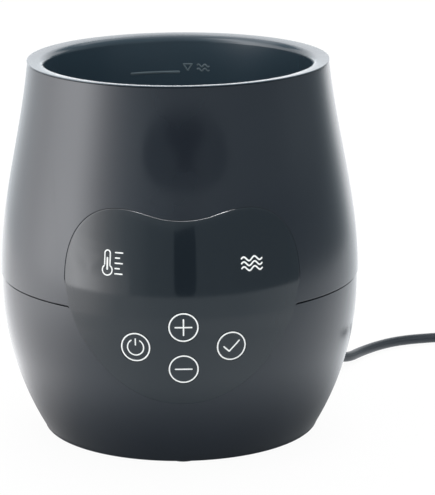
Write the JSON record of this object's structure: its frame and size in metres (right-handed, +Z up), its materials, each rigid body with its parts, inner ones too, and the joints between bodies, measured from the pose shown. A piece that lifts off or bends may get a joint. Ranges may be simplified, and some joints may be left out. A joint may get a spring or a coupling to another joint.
{
  "type": "sake warmer",
  "caption": "Countertop sake warmer: an open heated water well in a rounded casing with a heart-shaped control panel, push keys and a mains cord.",
  "frame": {"origin": "on the table under the centre of the body", "axes": "+Z up, the control panel faces -Y, the cord leaves toward +X and +Y"},
  "size_m": [0.2757, 0.1885, 0.158],
  "materials": {
    "shell": "semi-gloss moulded resin",
    "tank": "moulded polypropylene",
    "lens": "high-gloss smoked panel",
    "key": "high-gloss key cap with printed ring",
    "frame_black": "moulded black resin",
    "circuit_board": "fibreglass laminate",
    "display": "smoked display module",
    "component_black": "moulded component body",
    "component_white": "moulded white nylon",
    "component_yellow": "taped winding",
    "fuse_glass": "glass tube fuse",
    "stainless": "stainless sheet",
    "zinc_steel": "zinc-plated steel",
    "aluminium": "die-cast aluminium",
    "silicone": "silicone gasket",
    "rubber": "foot rubber",
    "cord_jacket": "PVC cord jacket",
    "plug": "moulded plug",
    "brass": "plated plug blade",
    "wire": "insulated wire"
  },
  "bodies": {
    "machine": {"base_plate": "shell", "base_screws": "zinc_steel", "board_screws": "zinc_steel", "buzzer": "component_black", "clamp_nuts": "zinc_steel", "clamp_ring": "zinc_steel", "clamp_screws": "zinc_steel", "control_board": "circuit_board", "control_chip": "component_black", "cord_clamp": "frame_black", "cord_coil": "cord_jacket", "cord_tail": "cord_jacket", "feet": "rubber", "heat_shield": "stainless", "heat_spreader": "aluminium", "heater_leads": "wire", "heating_plate": "stainless", "lower_shell": "shell", "mains_fuse": "fuse_glass", "mains_leads": "wire", "mains_terminal": "component_white", "noise_capacitor": "component_yellow", "panel_frame": "frame_black", "panel_lens": "lens", "panel_socket": "component_white", "plate_seal": "silicone", "plug_blades": "brass", "plug_body": "plug", "power_board": "circuit_board", "power_board_screws": "zinc_steel", "power_cord": "cord_jacket", "power_relay": "component_black", "power_sockets": "component_white", "ribbon_cable": "wire", "ring_heater": "zinc_steel", "sensor_leads": "wire", "set_display": "display", "smoothing_capacitor": "component_black", "strain_relief": "cord_jacket", "tact_switches": "component_black", "tank_liner": "tank", "temperature_sensor": "component_black", "thermal_fuse": "component_black", "thermostat": "frame_black", "thermostat_screws": "zinc_steel", "transformer": "component_yellow", "upper_shell": "shell", "water_display": "display"},
    "plus_key": {"key_plus": "key", "plunger_plus": "component_black"},
    "minus_key": {"key_minus": "key", "plunger_minus": "component_black"},
    "power_key": {"key_power": "key", "plunger_power": "component_black"},
    "set_key": {"key_set": "key", "plunger_set": "component_black"}
  },
  "joints": [
    {"name": "plus_key_press", "type": "slide", "parent": "machine", "child": "plus_key", "axis": [0, 1, 0], "range_m": [0, 0.00035], "stiffness_N_per_m": 3000, "springref_m": -0.0002},
    {"name": "minus_key_press", "type": "slide", "parent": "machine", "child": "minus_key", "axis": [0, 1, 0], "range_m": [0, 0.00035], "stiffness_N_per_m": 3000, "springref_m": -0.0002},
    {"name": "power_key_press", "type": "slide", "parent": "machine", "child": "power_key", "axis": [0, 1, 0], "range_m": [0, 0.00035], "stiffness_N_per_m": 3000, "springref_m": -0.0002},
    {"name": "set_key_press", "type": "slide", "parent": "machine", "child": "set_key", "axis": [0, 1, 0], "range_m": [0, 0.00035], "stiffness_N_per_m": 3000, "springref_m": -0.0002}
  ]
}
